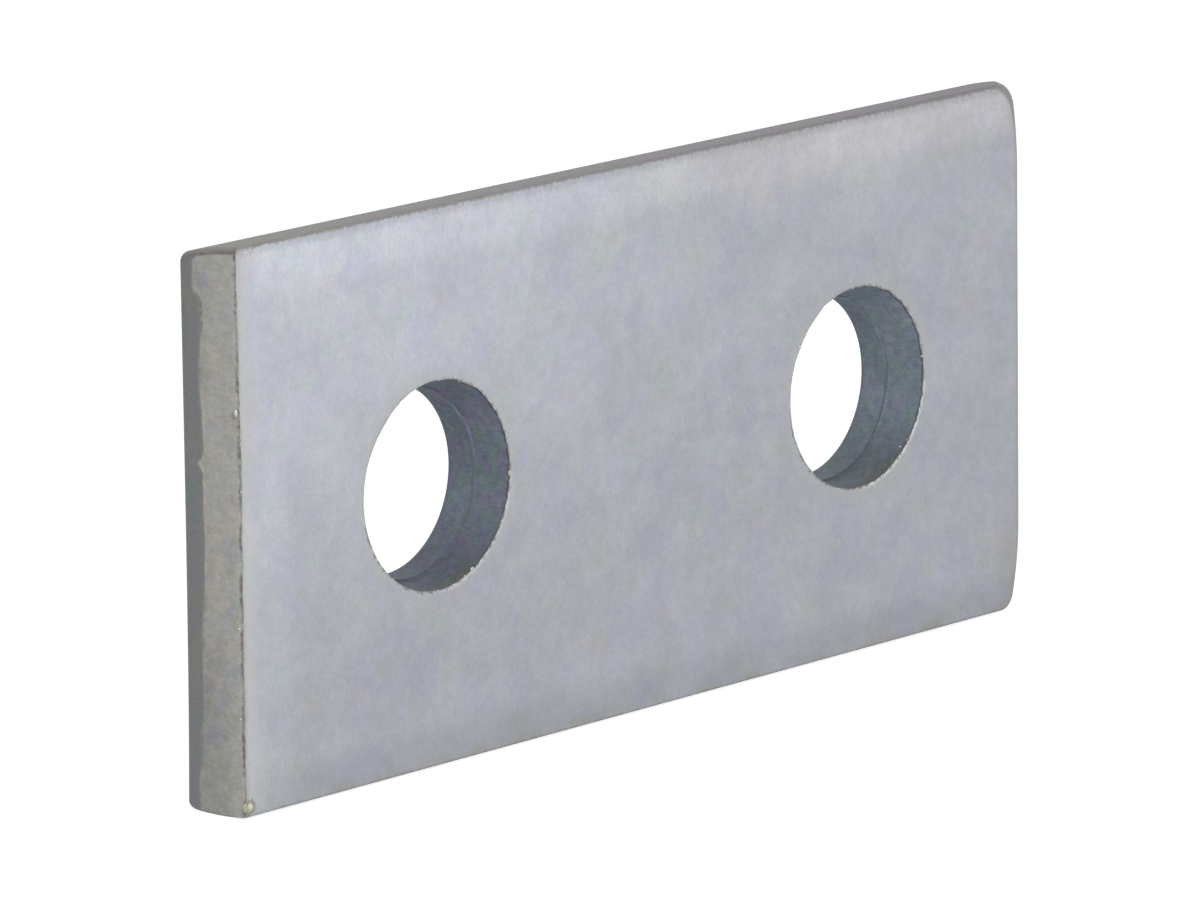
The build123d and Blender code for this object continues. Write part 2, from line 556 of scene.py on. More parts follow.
def inside_loop(spots, loop):
    """Which spots lie inside a closed loop: a line out of it crosses the loop an odd number of times."""
    inside = np.zeros(len(spots), dtype=bool)
    for (x0, z0), (x1, z1) in zip(loop, np.roll(loop, -1, axis=0)):
        if z0 == z1:
            continue
        spans = (spots[:, 1] > min(z0, z1)) & (spots[:, 1] <= max(z0, z1))
        inside ^= spans & (spots[:, 0] < x0 + (spots[:, 1] - z0) * (x1 - x0) / (z1 - z0))
    return inside


def fill_face(depth, boundaries):
    """Triangulates a broad face between an outline and two rims: each a first number and its points."""
    faces_front = depth < thickness / 2
    loops = [points[:, [0, 2]] for _, points in boundaries]
    cloud = inner_cloud(depth, loops[0], loops[1:])
    face_y = np.full(len(cloud), real_y(depth))
    cloud_first = add_points(np.column_stack([cloud[:, 0], face_y, cloud[:, 1]]))
    numbers = []
    edges = []
    for (first, _), loop in zip(boundaries, loops):
        start = len(numbers)
        edges.extend((start + i, start + (i + 1) % len(loop)) for i in range(len(loop)))
        numbers.extend(range(first, first + len(loop)))
    numbers.extend(range(cloud_first, cloud_first + len(cloud)))
    flat = np.concatenate([*loops, cloud]) / MM
    found = delaunay_2d_cdt([Vector(spot) for spot in flat], edges, [], 0, 1e-7, True)
    spots = np.array([tuple(spot) for spot in found[0]])
    corners = spots[np.array(found[2])]
    middles = corners.mean(axis=1) * MM
    kept = inside_loop(middles, loops[0])
    for loop in loops[1:]:
        kept &= ~inside_loop(middles, loop)
    one, other = corners[:, 1] - corners[:, 0], corners[:, 2] - corners[:, 0]
    turn = one[:, 0] * other[:, 1] - one[:, 1] * other[:, 0]
    for index in np.flatnonzero(kept):
        place = [numbers[min(found[3][i])] for i in found[2][index]]
        face_list.append(place if (turn[index] > 0) == faces_front else place[::-1])
        face_zone.append(FACE)
    return int(kept.sum())


# %% Assemble the skin
def side_zone(side, depth):
    """Which finish a strip of the sides has: the zinc of the front face runs over its round lips."""
    over_lip = side == RIGHT and depth < roll_depth - 0.2 * MM
    over_arris = side == BOTTOM and not front_arris < depth < thickness - back_arris
    over_upper = side == TOP and depth < 0.05 * MM
    if over_lip or over_arris or over_upper:
        return FACE
    return EDGE if side in (BOTTOM, TOP) else END


def strip(upper, lower, count, turned, zones):
    """Joins two loops of points, given by their first numbers, with a strip of four-cornered faces."""
    for i in range(count):
        j = (i + 1) % count
        corners = [upper + i, lower + i, lower + j, upper + j]
        face_list.append(corners if not turned else [corners[k] for k in (0, 3, 2, 1)])
        face_zone.append(zones[i])


ring_first = [add_points(points, **levels) for points, levels in rings]
for depth, upper, lower in zip(depths[1:], ring_first[:-1], ring_first[1:]):
    zones = [side_zone(side, depth) for side in range(4)]
    strip(upper, lower, ring_size, False, [zones[side] for side in point_side])
hole_first = []
for hole in holes:
    firsts = [add_points(points, **levels) for points, levels in hole]
    hole_first.append(firsts)
    for upper, lower in zip(firsts[:-1], firsts[1:]):
        strip(upper, lower, hole_points, True, [BORE] * hole_points)
for name, end, depth in (("front", 0, 0.0), ("back", -1, thickness)):
    rims = [(firsts[end], hole[end][0]) for firsts, hole in zip(hole_first, holes)]
    count = fill_face(depth, [(ring_first[end], rings[end][0]), *rims])
    print("Triangles of the", name, "face:", count)

# %% [markdown]
# ## Drops of zinc
#
# Zinc grows fastest on sharp points, so a plated burr ends in small bright nodules. The large ones
# are shaped one by one: a drop hangs at the lower front corner of the left end, and smaller ones
# sit on the arrises and rims. Each is a ball of many small faces, pushed a little out of round and
# sunk into the steel.

# %% Single drops
front_y = real_y(0.0)
arris_x = -length / 2 + end_break
bead = (arris_x + 0.5 * MM, front_y + 0.1 * MM, 0.95 * MM)


def on_rim(side, angle, outwards):
    """A place on the front rim of a hole, by its angle in degrees."""
    reach = rim_radius + outwards * MM
    x, z = rim_centre[side]
    return x + reach * cos(radians(angle)), front_y + 0.03 * MM, z + reach * sin(radians(angle))


def add_drop(centre, radii, lane):
    """A closed, slightly uneven ball at a place, with its three radii in millimetres."""
    ball = bmesh.new()
    bmesh.ops.create_icosphere(ball, subdivisions=3, radius=1.0)
    points = []
    for vertex in ball.verts:
        uneven = 1.0 + 0.16 * fractal(vertex.co * 1.3 + Vector((lane, 0.0, 0.0)), 1.0, 2.0, 2)
        points.append([c + r * MM * p * uneven for c, r, p in zip(centre, radii, vertex.co)])
    first = add_points(np.array(points))
    for face in ball.faces:
        face_list.append([first + vertex.index for vertex in face.verts])
        face_zone.append(LUMP)
    ball.free()


drops = [
    (bead, (0.58, 0.14, 0.5)),
    ((arris_x + 0.02 * MM, front_y + 0.12 * MM, 30.2 * MM), (0.13, 0.14, 0.3)),
    ((arris_x + 1.3 * MM, front_y + 0.03 * MM, 41.75 * MM), (0.2, 0.07, 0.14)),
    ((arris_x + 2.2 * MM, front_y + 0.03 * MM, 41.85 * MM), (0.16, 0.07, 0.12)),
    (on_rim(-1, -62.0, 0.02), (0.2, 0.1, 0.16)),
    (on_rim(-1, -3.0, 0.1), (0.16, 0.08, 0.22)),
    (on_rim(1, 140.0, 0.05), (0.14, 0.08, 0.12)),
    (on_rim(1, 148.0, 0.05), (0.12, 0.08, 0.16)),
]
for lane, (centre, radii) in enumerate(drops, start=1):
    add_drop(centre, radii, lane)
print(len(drops), "drops, which end at vertex", len(vertex_list))

# %% The bare plate
mesh = bpy.data.meshes.new("bare_plate")
mesh.from_pydata(vertex_list, [], face_list)
mesh.update()
for name, values in marks.items():
    attribute = mesh.attributes.new(name, "FLOAT", "POINT")
    attribute.data.foreach_set("value", np.array(values, dtype=np.float32))
zone = mesh.attributes.new("zone", "INT", "FACE")
zone.data.foreach_set("value", np.array(face_zone, dtype=np.int32))
blank = bpy.data.objects.new("bare_plate", mesh)
bpy.context.scene.collection.objects.link(blank)
print("Bare plate:", len(mesh.vertices), "vertices,", len(mesh.polygons), "faces")

# %% [markdown]
# ## Roughness that follows the tears
#
# The torn slopes are rough to the touch, and fine nodules line their edges. Both follow
# the surface by a rule, so Geometry Nodes make them. The `torn` mark says where a noise may push
# the surface, and the `ragged` mark says where nodules may grow. The seed is fixed. The tree ends by
# making the nodules real and giving each zone of the plate its finish.

# %% Materials to fill in later
finish_names = {
    FACE: "zinc_broad_face",
    END: "zinc_cropped_end",
    EDGE: "zinc_rolled_edge",
    BORE: "zinc_punched_bore",
    LUMP: "zinc_nodule",
}
materials = {number: bpy.data.materials.new(name) for number, name in finish_names.items()}
print("Finishes:", [material.name for material in materials.values()])

# %% The tree of the torn steel
tree_sizes = {
    "Tear height": 0.045 * MM,
    "Tear grain": 0.38 * MM,
    "Nodule radius": 0.1 * MM,
    "Nodules per square metre": 1.3e6,
}
tree_inputs = {"Geometry": "Geometry", **dict.fromkeys(tree_sizes, "Float"), "Seed": "Int"}
tree_inputs.update(dict.fromkeys(finish_names.values(), "Material"))
tree = bpy.data.node_groups.new("torn_steel", "GeometryNodeTree")
for name, kind in tree_inputs.items():
    tree.interface.new_socket(name, in_out="INPUT", socket_type="NodeSocket" + kind)
tree.interface.new_socket("Geometry", in_out="OUTPUT", socket_type="NodeSocketGeometry")
inputs = tree.nodes.new("NodeGroupInput").outputs
outputs = tree.nodes.new("NodeGroupOutput").inputs


def fill(owner, node, values):
    """Links or sets the inputs of a node, by their names or numbers."""
    for name, value in values.items():
        if isinstance(value, bpy.types.NodeSocket):
            owner.links.new(value, node.inputs[name])
        else:
            node.inputs[name].default_value = value


def add_node(owner, kind, values={}, **settings):
    """Adds a node to a tree, sets its options and fills its inputs."""
    made = owner.nodes.new(kind)
    for option, value in settings.items():
        setattr(made, option, value)
    fill(owner, made, values)
    return made


def tree_node(kind, values={}, **settings):
    """Adds a node to the tree of the torn steel."""
    return add_node(tree, kind, values, **settings)


def tree_math(operation, first, second):
    """One sum of two values or sockets."""
    return tree_node("ShaderNodeMath", {0: first, 1: second}, operation=operation).outputs[0]


def mark(name, kind="FLOAT"):
    """Reads one of the marks that the mesh carries."""
    read = tree_node("GeometryNodeInputNamedAttribute", {"Name": name}, data_type=kind)
    return read.outputs["Attribute"]


print("Inputs of the tree:", list(tree_inputs))

# %% Push the torn steel in and out
grain_level = 0.62  # a noise value that leaves the surface where it is
place = tree_node("GeometryNodeInputPosition").outputs[0]
facing = tree_node("GeometryNodeInputNormal").outputs[0]
grain_scale = tree_math("DIVIDE", 1.0, inputs["Tear grain"])
grain_look = {"Vector": place, "Scale": grain_scale, "Detail": 4.0, "Roughness": 0.62}
grain = tree_node("ShaderNodeTexNoise", grain_look)
centred = tree_math("SUBTRACT", grain.outputs[0], grain_level)
height = tree_math("MULTIPLY", tree_math("MULTIPLY", centred, inputs["Tear height"]), mark("torn"))
push_scale = tree_math("MULTIPLY", height, 2.0)
push = tree_node("ShaderNodeVectorMath", {0: facing, "Scale": push_scale}, operation="SCALE")
moved = {"Geometry": inputs["Geometry"], "Offset": push.outputs[0]}
rough_steel = tree_node("GeometryNodeSetPosition", moved)
print("Nodes so far:", len(tree.nodes))

# %% Grow the nodules and set the finishes
density = tree_math("MULTIPLY", mark("ragged"), inputs["Nodules per square metre"])
seeds = tree_node(
    "GeometryNodeDistributePointsOnFaces",
    {"Mesh": rough_steel.outputs[0], "Density": density, "Seed": inputs["Seed"]},
    distribute_method="RANDOM",
)
ball = tree_node("GeometryNodeMeshIcoSphere", {"Radius": 1.0, "Subdivisions": 2})
round_look = {"Geometry": ball.outputs[0], "Shade Smooth": True}
round_ball = tree_node("GeometryNodeSetShadeSmooth", round_look)
chance = {2: 0.35, 3: 1.0, "Seed": inputs["Seed"]}  # the smallest and largest share of the radius
share = tree_node("FunctionNodeRandomValue", chance, data_type="FLOAT")
squared = tree_math("POWER", share.outputs[1], 2.0)
nodule_scale = tree_math("MULTIPLY", squared, inputs["Nodule radius"])
grown = tree_node(
    "GeometryNodeInstanceOnPoints",
    {"Points": seeds.outputs["Points"], "Instance": round_ball.outputs[0], "Scale": nodule_scale},
)
real = tree_node("GeometryNodeRealizeInstances", {"Geometry": grown.outputs[0]})
numbered = tree_node(
    "GeometryNodeStoreNamedAttribute",
    {"Geometry": real.outputs[0], "Name": "zone", "Value": LUMP},
    data_type="INT",
    domain="FACE",
)
joined = tree_node("GeometryNodeJoinGeometry")
for part in (numbered, rough_steel):
    tree.links.new(part.outputs[0], joined.inputs[0])
dressed = joined.outputs[0]
for number, name in finish_names.items():
    sides = {2: mark("zone", "INT"), 3: number}
    here = tree_node("FunctionNodeCompare", sides, data_type="INT", operation="EQUAL")
    paint = {"Geometry": dressed, "Selection": here.outputs[0], "Material": inputs[name]}
    dressed = tree_node("GeometryNodeSetMaterial", paint).outputs[0]
tree.links.new(dressed, outputs["Geometry"])
print("Torn steel tree:", len(tree.nodes), "nodes")

# %% Run the tree and keep a plain mesh
modifier = blank.modifiers.new("torn_steel", "NODES")
modifier.node_group = tree
settings = {**tree_sizes, "Seed": 7}
settings.update({name: materials[number] for number, name in finish_names.items()})
sockets = {item.name: item.identifier for item in tree.interface.items_tree if item.in_out == "INPUT"}
for name, value in settings.items():
    modifier[sockets[name]] = value
bpy.context.view_layer.update()
evaluated = blank.evaluated_get(bpy.context.evaluated_depsgraph_get())
plate_mesh = bpy.data.meshes.new_from_object(evaluated)
plate_mesh.name = "plate"
bpy.data.objects.remove(blank)
if plate_mesh.materials[0] is None:
    plate_mesh.materials.pop(index=0)
co = np.empty(len(plate_mesh.vertices) * 3, dtype=np.float32)
plate_mesh.vertices.foreach_get("co", co)
hair = 1e-6  # a micrometre inside the CAD box, so that no nodule sticks out of it
co = np.clip(co.reshape(-1, 3), np.array(low) + hair, np.array(high) - hair)
plate_mesh.vertices.foreach_set("co", co.astype(np.float32).ravel())
plate_mesh.shade_smooth()
plate_mesh.set_sharp_from_angle(angle=radians(38))
plate_mesh.update()
plate = bpy.data.objects.new("plate", plate_mesh)
bpy.context.scene.collection.objects.link(plate)
plate_mesh.calc_loop_triangles()
print("Plate:", len(plate_mesh.loop_triangles), "triangles,", [m.name for m in plate_mesh.materials])

# %% [markdown]
# ## How a finish is written
#
# A finish is a small recipe: a colour, some noises that vary it, a roughness and a fine relief.
# The recipes are easier to read when each node is one short call, so a small class holds the
# material and its colour so far, and adds nodes to it. The sizes of patches are real sizes on the
# steel, because the noises read Object coordinates, and the object sits unturned at the origin.

# %% A finish under construction
def screen_colour(red, green, blue):
    """A colour as it looks on a screen, 0 to 255, in the linear numbers that a shader wants."""
    shares = [value / 255 for value in (red, green, blue)]
    linear = [s / 12.92 if s <= 0.04045 else ((s + 0.055) / 1.055) ** 2.4 for s in shares]
    return (*linear, 1.0)


class Finish:
    """A material being built, with one short call for each kind of node."""

    def __init__(self, zone):
        self.tree = materials[zone].node_tree
        self.place = self.node("ShaderNodeTexCoord").outputs["Object"]

    def node(self, kind, values={}, **settings):
        return add_node(self.tree, kind, values, **settings)

    def math(self, operation, first, second):
        """One sum of two values or sockets."""
        return self.node("ShaderNodeMath", {0: first, 1: second}, operation=operation).outputs[0]

    def times(self, first, *others):
        """Everything multiplied together."""
        for other in others:
            first = self.math("MULTIPLY", first, other)
        return first

    def noise(self, size, lane, stretch=(1.0, 1.0, 1.0), detail=3.0, rough=0.5):
        """Cloudy patches of about this size in millimetres, drawn out along an axis by stretch."""
        scale = [1.0 / (size * MM) / s for s in stretch]
        shift = (lane, lane * 1.7, lane * 0.6)
        moved = {"Vector": self.place, "Scale": scale, "Location": shift}
        place = self.node("ShaderNodeMapping", moved).outputs[0]
        look = {"Vector": place, "Scale": 1.0, "Detail": detail, "Roughness": rough}
        return self.node("ShaderNodeTexNoise", look).outputs[0]

    def spread(self, value, low, high, to_low=0.0, to_high=1.0):
        """Stretches a range of values over another, with soft ends."""
        values = dict(enumerate((value, low, high, to_low, to_high)))
        return self.node("ShaderNodeMapRange", values, interpolation_type="SMOOTHSTEP").outputs[0]

    def rise(self, value, start, end, to_low=0.0, to_high=1.0):
        """The same, over a distance on the steel that is given in millimetres."""
        return self.spread(value, start * MM, end * MM, to_low, to_high)

    def patches(self, size, lane, start, full, most=1.0, **look):
        """A share that is 0 between the patches of a noise and rises to `most` inside them."""
        return self.spread(self.noise(size, lane, **look), start, full, 0.0, most)

    def clouds(self, table, detail=4.0):
        """Tinted clouds, each (size, lane, noise where it starts and is full, share, red, green, blue)."""
        for size, lane, start, full, most, *screen in table:
            self.tint(self.patches(size, lane, start, full, most, detail=detail, rough=0.6), *screen)

    def blend(self, share, first, second):
        """Mixes two colours."""
        return self.node("ShaderNodeMix", {0: share, 6: first, 7: second}, data_type="RGBA").outputs[2]

    def base(self, share, first, second):
        """Starts the colour as a mix of two screen colours."""
        self.colour = self.blend(share, screen_colour(*first), screen_colour(*second))

    def tint(self, share, *screen):
        """Lays a screen colour over the colour, as strongly as the share says."""
        self.colour = self.blend(share, self.colour, screen_colour(*screen))

    def shade(self, value, low, high, dark, light):
        """Darkens and lightens the colour by a noise: from `dark` times to `light` times."""
        values = {0: self.colour, "Scale": self.spread(value, low, high, dark, light)}
        self.colour = self.node("ShaderNodeVectorMath", values, operation="SCALE").outputs[0]

    def tone(self, share, factor):
        """Makes the colour so many times as bright where the share is 1."""
        self.shade(share, 0.0, 1.0, 1.0, factor)

    def mark(self, name):
        """One of the marks that the mesh carries."""
        return self.node("ShaderNodeAttribute", attribute_name=name).outputs["Fac"]

    def along(self, axis):
        """How far along an axis the steel is."""
        return self.node("ShaderNodeSeparateXYZ", {0: self.place}).outputs[axis]

    def distance(self, centre):
        """How far the steel is from a spot."""
        ends = {0: self.place, 1: centre}
        return self.node("ShaderNodeVectorMath", ends, operation="DISTANCE").outputs["Value"]

    def relief(self, value, height, strength, under=None):
        """A fine relief of this height, laid over another one if there is one under it."""
        values = {"Strength": strength, "Distance": height, "Height": value}
        if under is not None:
            values["Normal"] = under
        return self.node("ShaderNodeBump", values).outputs[0]

    def done(self, metallic, gloss, roughness, relief):
        """Hands the finish to the shader: `gloss` is how strongly a surface without metal shines."""
        values = {"Base Color": self.colour, "Metallic": metallic, "Specular IOR Level": gloss}
        fill(self.tree, self.tree.nodes["Principled BSDF"], values)
        fill(self.tree, self.tree.nodes["Principled BSDF"], {"Roughness": roughness, "Normal": relief})
        print("This finish has", len(self.tree.nodes), "nodes")


for material in materials.values():
    material.use_nodes = True
print("Zinc grey in linear numbers:", [round(v, 3) for v in screen_colour(180, 185, 192)[:3]])

# %% [markdown]
# ## Bright zinc on the broad faces
#
# Zinc plate with a clear passivate is a satin, bluish grey. It is never even: the bath leaves cool
# and warm clouds a few millimetres wide, and the rolled steel below shows as a fine grain with
# faint up-and-down streaks under the upper edge. Painted light makes the face brighter towards the
# upper edge and the upper left corner, and painted shade makes it darker towards the lower edge,
# where drained passivate is also a little brown in places. Thin dark lines run along the rims and
# arrises: along the arrises they are painted shade of the rounded edges. A painted highlight lies at
# the lower right of each rim, and a painted shadow round the bead.

# %% The broad faces
METAL = 0.35
OLIVE = (screen_colour(118, 115, 98), screen_colour(124, 114, 104))
SLATE = (screen_colour(90, 94, 100), screen_colour(98, 99, 98))


def stain_and_shade_over(f, tones=OLIVE, strength=1.0):
    """Brown rust and dirt caught behind the burrs, with the painted shade that the stain mark also holds,
    broken up by a noise.
    """
    patchy = f.spread(f.noise(0.5, 5.0, detail=4.0, rough=0.65), 0.3, 0.6, 0.25, 1.0)
    share = f.spread(f.times(f.mark("stain"), patchy), 0.1, 0.8, 0.0, 0.85 * strength)
    f.colour = f.blend(share, f.colour, f.blend(f.patches(0.9, 8.0, 0.4, 0.6), *tones))


def rim_tints(f, side, along, height, wobble, ragged):
    """The pale band round a rim, a painted highlight at its lower right and the dark line at its edge."""
    rim_x, rim_z = rim_centre[side]
    reach = f.math("ADD", f.distance((rim_x, -thickness / 2, rim_z)), wobble)
    f.tint(f.spread(reach, rim_radius + 1.5 * MM, rim_radius, 0.0, 0.5), 186, 188, 185)
    lower_right = f.math("SUBTRACT", along, f.math("ADD", height, rim_x - rim_z))
    # a painted highlight at the lower right of the rim, stronger on the right hole
    white = 0.95 if side > 0 else 0.5
    rim_highlight = f.spread(reach, rim_radius + 0.42 * MM, rim_radius + 0.26 * MM, 0.0, white)
    rim_highlight = f.times(rim_highlight, f.rise(lower_right, 8.0, 9.8), f.spread(ragged, 0.36, 0.5))
    f.tint(rim_highlight, 224, 226, 226)
    fringe = f.spread(reach, rim_radius + 0.2 * MM, rim_radius + 0.04 * MM, 0.0, 0.75)
    fringe = f.times(fringe, f.rise(lower_right, -8.2, -5.0, 0.25, 1.0))
    f.tint(fringe, 122, 121, 114)


def face_finish():
    f = Finish(FACE)
    height, along = f.along("Z"), f.along("X")
    top = front_width

    # Cool and warm clouds, and a neutral patch under the middle of the upper edge
    clouds = f.patches(4.2, 1.0, 0.36, 0.64)
    f.base(clouds, (177, 181, 190), (182, 185, 190))
    violet = (3.6, 2.0, 0.46, 0.62, 0.7, 176, 177, 193)
    green = (3.0, 3.0, 0.5, 0.64, 0.7, 175, 183, 184)
    pink = (3.2, 14.0, 0.53, 0.66, 0.45, 184, 179, 187)
    f.clouds([violet, green, pink], detail=5.0)
    f.tint(f.times(f.rise(along, -12.0, 14.0), f.rise(height, 35.5, 40.0), 0.6), 186, 184, 187)

    # Painted light and shade across the face, with mottling in two sizes between them
    # painted light: a little brighter to the right
    f.shade(along, -5.0 * MM, 36.0 * MM, 1.0, 1.022)
    mottle = f.noise(6.0, 15.0, detail=4.0, rough=0.6)
    f.shade(mottle, 0.3, 0.7, 0.95, 1.05)
    # painted light: brighter up the face
    f.shade(height, 12.0 * MM, 38.0 * MM, 0.99, 1.05)
    fine_mottle = f.noise(0.9, 17.0, detail=5.0, rough=0.65)
    f.shade(fine_mottle, 0.32, 0.68, 0.962, 1.038)
    # painted sheen in a band under the upper edge
    f.tone(f.spread(height, top - 5.4 * MM, top - 2.0 * MM), 1.12)
    # painted light in a pale spot near the upper right
    pale = f.distance((25.5 * MM, -thickness / 2, 39.0 * MM))
    f.tone(f.rise(pale, 8.0, 2.0), 1.05)
    # painted light at the upper left
    f.tone(f.times(f.rise(along, 30.0, -44.0), f.rise(height, 6.0, 36.0)), 1.15)  # upper left
    # painted shade along the lower edge
    f.tone(f.rise(height, 5.0, 0.8), 0.87)

    # Streaks under the upper edge, and the grain of the rolled steel
    streaks = f.spread(f.noise(0.26, 4.0, (1.0, 1.0, 5.0)), 0.3, 0.7, -1.0, 1.0)
    near_top = f.spread(height, top - 7.0 * MM, top - 0.5 * MM, 0.15, 0.6)
    streaks = f.math("ADD", f.times(streaks, near_top), 1.0)
    f.shade(streaks, 0.0, 2.0, 0.975, 1.025)
    grain = f.noise(0.2, 6.0, detail=4.0, rough=0.7)
    f.shade(grain, 0.3, 0.7, 0.94, 1.06)

    # The upper edge, the lower edge and the two ends, along lines that wobble
    f.tint(f.spread(along, arris_x + 2.6 * MM, arris_x + 0.4 * MM, 0.0, 0.6), 194, 195, 193)
    ragged = f.noise(0.42, 16.0, (1.0, 1.0, 1.4), detail=4.0, rough=0.65)
    wobble = f.times(f.spread(ragged, 0.3, 0.7, -1.0, 1.0), 0.16 * MM)
    near_edge = f.math("ADD", height, wobble)
    # painted shade under the rounded upper edge
    f.tone(f.spread(near_edge, top - 1.2 * MM, top - 0.25 * MM), 0.82)
    # painted shade in a ragged dark line at the top of the face
    ragged_top_shade = f.spread(near_edge, top - 0.34 * MM, top - 0.22 * MM, 0.0, 0.65)
    f.tint(ragged_top_shade, 143, 141, 141)
    drained = f.patches(5.0, 18.0, 0.45, 0.6)
    f.tint(f.times(drained, f.rise(height, 1.5, 0.5), 0.6), 158, 157, 149)
    # painted light at the lower left
    f.tone(f.times(f.rise(along, -37.0, -41.5), f.rise(height, 30.0, 20.0)), 1.09)  # lower left
    lower_right = f.times(f.rise(along, 40.0, 43.6), f.rise(height, 12.0, 4.0), 0.45)
    f.tint(lower_right, 164, 162, 155)
    # painted shade along the rounded lower arris
    near_floor = f.math("ADD", height, f.times(wobble, 0.5))
    f.tint(f.rise(near_floor, 0.38, 0.22, 0.0, 0.75), 122, 121, 116)
    # painted shade along the rounded left arris
    near_arris = f.math("ADD", along, wobble)
    f.tone(f.spread(near_arris, arris_x + 0.75 * MM, arris_x + 0.1 * MM), 0.84)
    rosy = f.spread(along, arris_x + 1.3 * MM, arris_x + 0.3 * MM)
    f.tint(f.times(rosy, f.rise(height, 37.5, 40.0), 0.4), 196, 182, 194)
    # painted shade on the right end's roll, where it turns away from the light
    f.tint(f.spread(f.mark("lip"), 0.0, 1.0, 0.0, 0.85), 140, 138, 138)

    # Painted shadow round the bead, then the rims, specks and pits
    bead_shadow = f.rise(f.math("ADD", f.distance(bead), wobble), 0.72, 0.5, 0.0, 0.7)
    f.tint(bead_shadow, 134, 134, 116)
    for side in (-1, 1):
        rim_tints(f, side, along, height, wobble, ragged)
    specks = f.patches(0.34, 9.0, 0.74, 0.8, 0.5, detail=2.0)
    f.tint(f.times(specks, f.patches(7.0, 19.0, 0.45, 0.6)), 216, 220, 220)
    f.tint(f.patches(0.34, 10.0, 0.25, 0.2, 0.3, detail=1.0), 140, 140, 142)
    waves = f.relief(f.noise(1.6, 12.0, detail=2.0), 0.012 * MM, 0.4)
    relief = f.relief(grain, 0.012 * MM, 0.5, waves)
    stain_and_shade_over(f)
    f.done(METAL, 0.35, f.spread(clouds, 0.0, 1.0, 0.46, 0.54), relief)


face_finish()

# %% [markdown]
# ## The cropped ends
#
# The blade polished the smooth band, so the zinc over it is dark and even, with faint scratches
# across the thickness, the way the blade moved. The torn slope in front of it is dull and catches
# light on its grain, so it looks paler. Both carry pink, green and blue tints of thin passivate.
# Both greys are also set darker than the face's grey, as painted shade on the end.

# %% The cropped ends
def end_finish():
    f = Finish(END)
    height, depth_in = f.along("Z"), f.along("Y")
    burnished = f.mark("burnished")

    # The torn slope
    warm = f.patches(2.2, 1.0, 0.36, 0.64, detail=4.0, rough=0.6)
    # painted shade in part: the torn slope's greys are darker than the face's
    f.base(warm, (177, 174, 167), (170, 173, 168))
    pink = (2.4, 2.0, 0.52, 0.66, 0.5, 182, 171, 167)
    blue = (2.3, 3.0, 0.52, 0.66, 0.7, 163, 165, 176)
    olive = (1.6, 11.0, 0.54, 0.68, 0.4, 162, 160, 144)
    f.clouds([pink, blue, olive])
    f.shade(depth_in, 1.6 * MM, -2.8 * MM, 0.95, 1.08)
    deep = f.rise(depth_in, -2.2, -0.8, 0.15, 1.0)
    f.tone(f.times(f.rise(height, 17.0, 8.0), deep), 0.88)
    mottle = f.noise(0.7, 13.0, (1.0, 1.6, 1.0), detail=4.0, rough=0.65)
    f.shade(mottle, 0.3, 0.7, 0.91, 1.09)

    # The smooth band
    torn = f.colour
    # painted shade in part: the smooth band's greys are darker still
    f.base(warm, (134, 134, 129), (132, 131, 137))
    f.tint(f.patches(3.4, 4.0, 0.52, 0.68, 0.8, detail=2.0), 124, 135, 131)
    f.colour = f.blend(burnished, torn, f.colour)

    # Grain, specks on the tear and scratches
    grain = f.noise(0.18, 6.0, (1.0, 1.8, 1.0), detail=4.0, rough=0.7)
    f.shade(grain, 0.3, 0.7, 0.92, 1.08)
    specks = f.patches(0.26, 9.0, 0.68, 0.76, 0.5, detail=1.0)
    specks = f.times(specks, f.spread(burnished, 0.0, 0.5, 1.0, 0.0))
    f.tint(specks, 196, 190, 182)
    scratches = f.relief(f.noise(0.1, 7.0, (1.0, 14.0, 1.0), detail=2.0), 0.01 * MM, 0.4)
    relief = f.relief(grain, 0.03 * MM, 0.7, scratches)
    stain_and_shade_over(f)
    f.done(0.25, 0.3, f.spread(burnished, 0.0, 1.0, 0.62, 0.5), relief)


end_finish()

# %% [markdown]
# ## The rolled long edges
#
# The long edges were rolled in the mill and never cut. They are smooth, with a faint lengthwise
# grain. Their grey is darker than the faces': partly a duller mill finish, partly painted shade.
# The upper one ends at the front in a line that is rough under a fingernail.

# %% The rolled long edges
def edge_finish():
    f = Finish(EDGE)
    cool = f.patches(4.0, 1.0, 0.38, 0.62)
    # a darker grey than the faces: partly a duller mill finish, partly painted shade
    f.base(cool, (148, 146, 153), (146, 147, 145))
    f.tint(f.rise(f.along("X"), -10.0, -42.0, 0.0, 0.7), 148, 147, 140)
    f.tint(f.patches(2.2, 2.0, 0.52, 0.66, 0.6), 154, 144, 150)
    grain = f.noise(0.14, 6.0, (6.0, 1.0, 1.0), detail=4.0, rough=0.65)
    f.shade(grain, 0.3, 0.7, 0.93, 1.07)
    stain_and_shade_over(f, strength=0.8)
    f.done(0.15, 0.08, 0.8, f.relief(grain, 0.014 * MM, 0.6))


edge_finish()

# %% [markdown]
# ## The punched bores
#
# Inside a hole the current of the plating bath is weak, so the zinc is thin and dark, almost
# slate blue. Painted light makes it paler towards the top of the hole and to the right, and painted
# shade makes it darker at the bottom. It is a little olive at the bottom of the rim, and a painted
# shadow runs round in a dark line where the bore meets the step of the torn cone.

